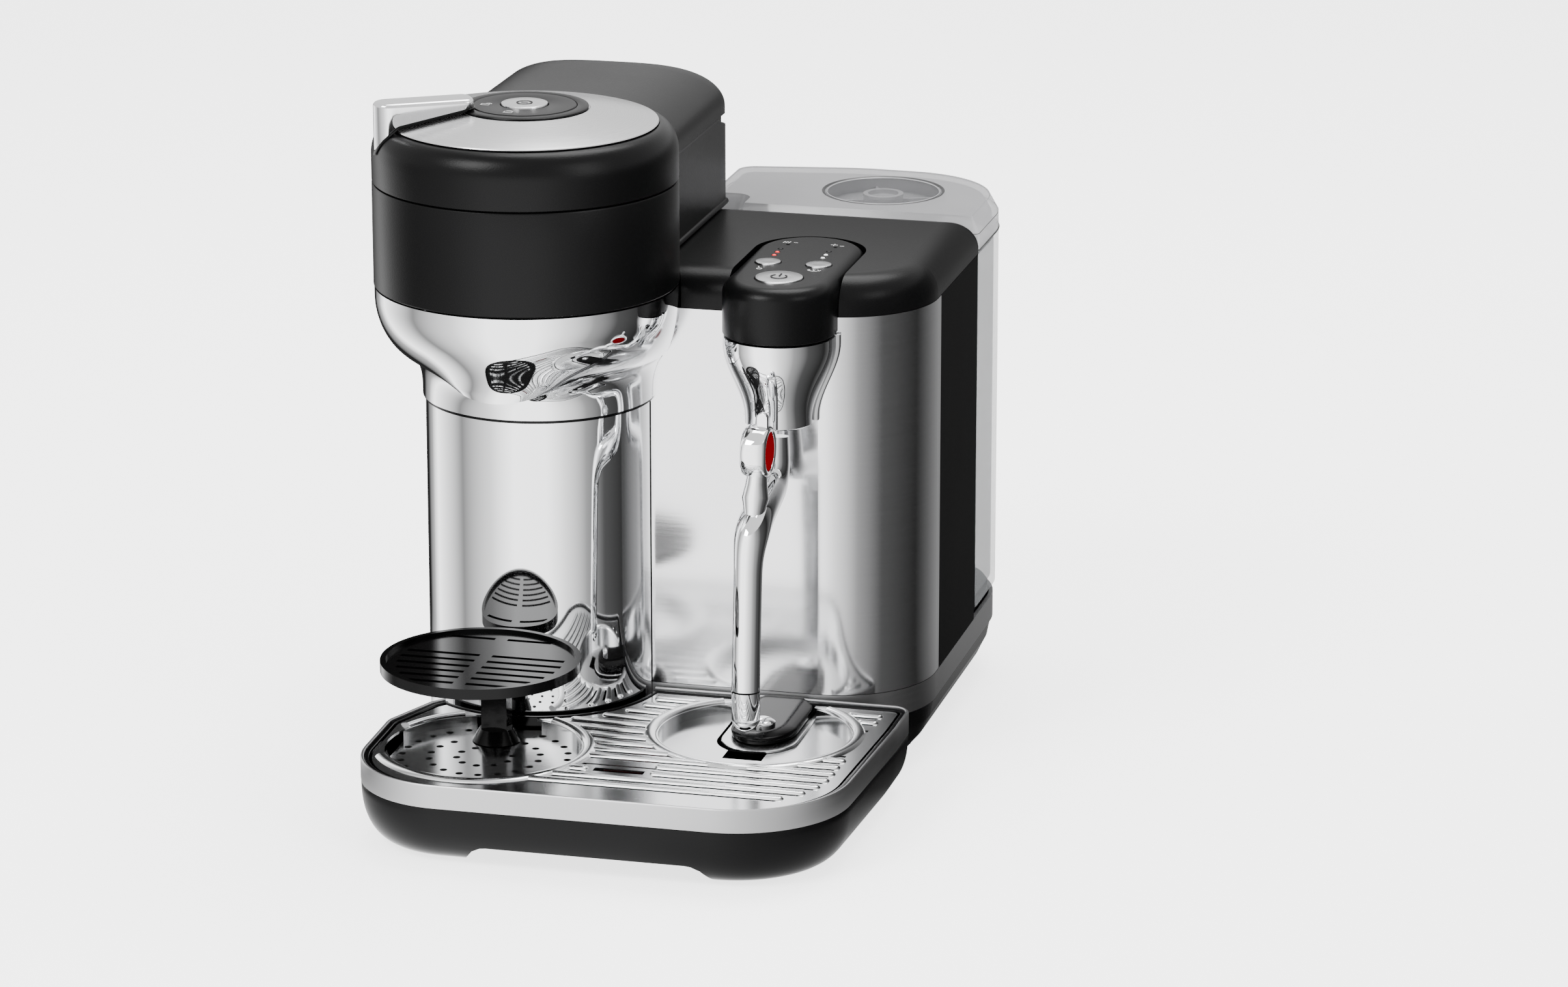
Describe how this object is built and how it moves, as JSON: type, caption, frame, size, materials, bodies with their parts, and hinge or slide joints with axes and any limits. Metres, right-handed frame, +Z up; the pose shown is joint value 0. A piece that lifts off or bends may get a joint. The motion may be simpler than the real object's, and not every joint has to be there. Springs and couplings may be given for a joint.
{
  "type": "pod coffee machine",
  "caption": "Capsule coffee machine with a lidded brewing head on a chrome column, a steam wand, a drip tray with grid, a clear water tank and a capsule bin.",
  "frame": {"origin": "middle of the footprint at table level", "axes": "+Z up, +Y towards the back, +X to the right as seen from the front"},
  "size_m": [0.2548, 0.4006, 0.331],
  "materials": {
    "satin_black": "satin",
    "charcoal_panel": "matte",
    "mirror_chrome": "mirror",
    "satin_steel": "fine brushed",
    "pressed_steel": "polished",
    "gloss_black": "gloss",
    "clear_grey": "clear",
    "red_insert": "gloss",
    "black_rubber": "matte",
    "dark_plastic": "moulded",
    "works_aluminium": "cast",
    "spring_steel": "drawn",
    "motor_steel": "plated",
    "board_green": "solder resist",
    "lamp_white": "translucent"
  },
  "bodies": {
    "chassis": {"base_pan": "gloss_black", "base_band": "satin_steel", "platform": "satin_black", "rubber_feet": "black_rubber", "base_screws": "spring_steel", "cord_inlet": "dark_plastic", "front_panel": "satin_steel", "side_panel_right": "charcoal_panel", "side_panel_left": "charcoal_panel", "bulkhead": "charcoal_panel", "top_cover": "satin_black", "column_tube": "mirror_chrome", "column_collar": "gloss_black", "brew_bowl": "mirror_chrome", "head_housing": "satin_black", "lid_hinge_pin": "spring_steel", "chamber_deck": "dark_plastic", "rotor_bearing": "motor_steel", "drive_belt": "black_rubber", "spin_motor": "motor_steel", "steam_cap": "satin_black", "steam_funnel": "mirror_chrome", "wand_hinge_pin": "spring_steel", "milk_sensor_arm": "gloss_black", "status_leds": "lamp_white", "valve_seat": "dark_plastic", "thermoblock": "works_aluminium", "water_pump": "dark_plastic", "steam_boiler": "works_aluminium", "control_board": "board_green"},
    "capsule_rotor": {"capsule_seat": "dark_plastic", "rotor_pulley": "dark_plastic"},
    "motor_shaft": {"motor_pulley": "motor_steel"},
    "lid": {"lid_shell": "satin_black", "lid_disc": "satin_steel", "pivot_disc": "satin_black", "sealing_plate": "dark_plastic", "brew_button_spring": "spring_steel"},
    "lever": {"lever_ring": "satin_black", "lock_lever": "mirror_chrome"},
    "brew_key": {"brew_button": "satin_steel"},
    "power_key": {"power_button": "satin_steel"},
    "milk_temp_key": {"milk_temp_button": "satin_steel"},
    "milk_foam_key": {"milk_foam_button": "satin_steel"},
    "wand": {"wand_tube": "mirror_chrome", "wand_tip": "mirror_chrome", "wand_knob": "mirror_chrome", "knob_inserts": "red_insert"},
    "jug_sensor": {"milk_sensor": "mirror_chrome"},
    "tray": {"tray_shell": "gloss_black", "tray_feet": "black_rubber", "tray_band": "satin_steel"},
    "float": {"tray_float": "red_insert"},
    "grid": {"drip_grid": "pressed_steel"},
    "cup_rest": {"cup_support": "gloss_black"},
    "tank": {"water_tank": "clear_grey", "tank_valve": "dark_plastic"},
    "tank_top": {"tank_lid": "clear_grey"},
    "filler_cap": {"tank_cap": "clear_grey"},
    "bin": {"capsule_bin": "dark_plastic"}
  },
  "joints": [
    {"name": "lid_hinge", "type": "hinge", "parent": "chassis", "child": "lid", "pos_m": [-0.0555, 0.097, 0.293], "axis": [-1, 0, 0], "range_deg": [0, 45]},
    {"name": "lever_turn", "type": "hinge", "parent": "lid", "child": "lever", "pos_m": [-0.0555, -0.0535, 0.325], "axis": [0, 0, 1], "range_deg": [0, 50]},
    {"name": "brew_press", "type": "slide", "parent": "lid", "child": "brew_key", "axis": [0, 0, -1], "range_m": [0, 0.0012], "stiffness_N_per_m": 900, "springref_m": -0.0006, "deforming": ["brew_button_spring"]},
    {"name": "power_press", "type": "slide", "parent": "chassis", "child": "power_key", "axis": [0, 0, -1], "range_m": [0, 0.0012], "stiffness_N_per_m": 900, "springref_m": -0.0006},
    {"name": "milk_temp_press", "type": "slide", "parent": "chassis", "child": "milk_temp_key", "axis": [0, 0, -1], "range_m": [0, 0.001], "stiffness_N_per_m": 900, "springref_m": -0.0006},
    {"name": "milk_foam_press", "type": "slide", "parent": "chassis", "child": "milk_foam_key", "axis": [0, 0, -1], "range_m": [0, 0.001], "stiffness_N_per_m": 900, "springref_m": -0.0006},
    {"name": "wand_lift", "type": "hinge", "parent": "chassis", "child": "wand", "pos_m": [0.0631, -0.044, 0.178], "axis": [-1, 0, 0], "range_deg": [0, 30]},
    {"name": "sensor_press", "type": "slide", "parent": "chassis", "child": "jug_sensor", "axis": [0, 0, -1], "range_m": [0, 0.002], "stiffness_N_per_m": 900, "springref_m": -0.0006},
    {"name": "tray_slide", "type": "slide", "parent": "chassis", "child": "tray", "axis": [0, -1, 0], "range_m": [0, 0.2]},
    {"name": "float_rise", "type": "slide", "parent": "tray", "child": "float", "axis": [0, 0, 1], "range_m": [0, 0.006]},
    {"name": "grid_lift", "type": "slide", "parent": "tray", "child": "grid", "axis": [0, 0, 1], "range_m": [0, 0.045]},
    {"name": "cup_rest_lift", "type": "slide", "parent": "grid", "child": "cup_rest", "axis": [0, 0, 1], "range_m": [0, 0.05]},
    {"name": "tank_lift", "type": "slide", "parent": "chassis", "child": "tank", "axis": [0, 0, 1], "range_m": [0, 0.2]},
    {"name": "tank_lid_lift", "type": "slide", "parent": "tank", "child": "tank_top", "axis": [0, 0, 1], "range_m": [0, 0.05]},
    {"name": "filler_cap_lift", "type": "slide", "parent": "tank_top", "child": "filler_cap", "axis": [0, 0, 1], "range_m": [0, 0.04]},
    {"name": "bin_slide", "type": "slide", "parent": "chassis", "child": "bin", "axis": [0, 1, 0], "range_m": [0, 0.15]},
    {"name": "rotor_spin", "type": "hinge", "parent": "chassis", "child": "capsule_rotor", "pos_m": [-0.0555, -0.0535, 0.24], "axis": [0, 0, 1], "continuous": true},
    {"name": "motor_spin", "type": "hinge", "parent": "chassis", "child": "motor_shaft", "pos_m": [-0.0555, 0.04, 0.24], "axis": [0, 0, 1], "continuous": true}
  ],
  "couplings": [
    {"joint": "motor_spin", "follows": "rotor_spin", "ratio": 3}
  ]
}
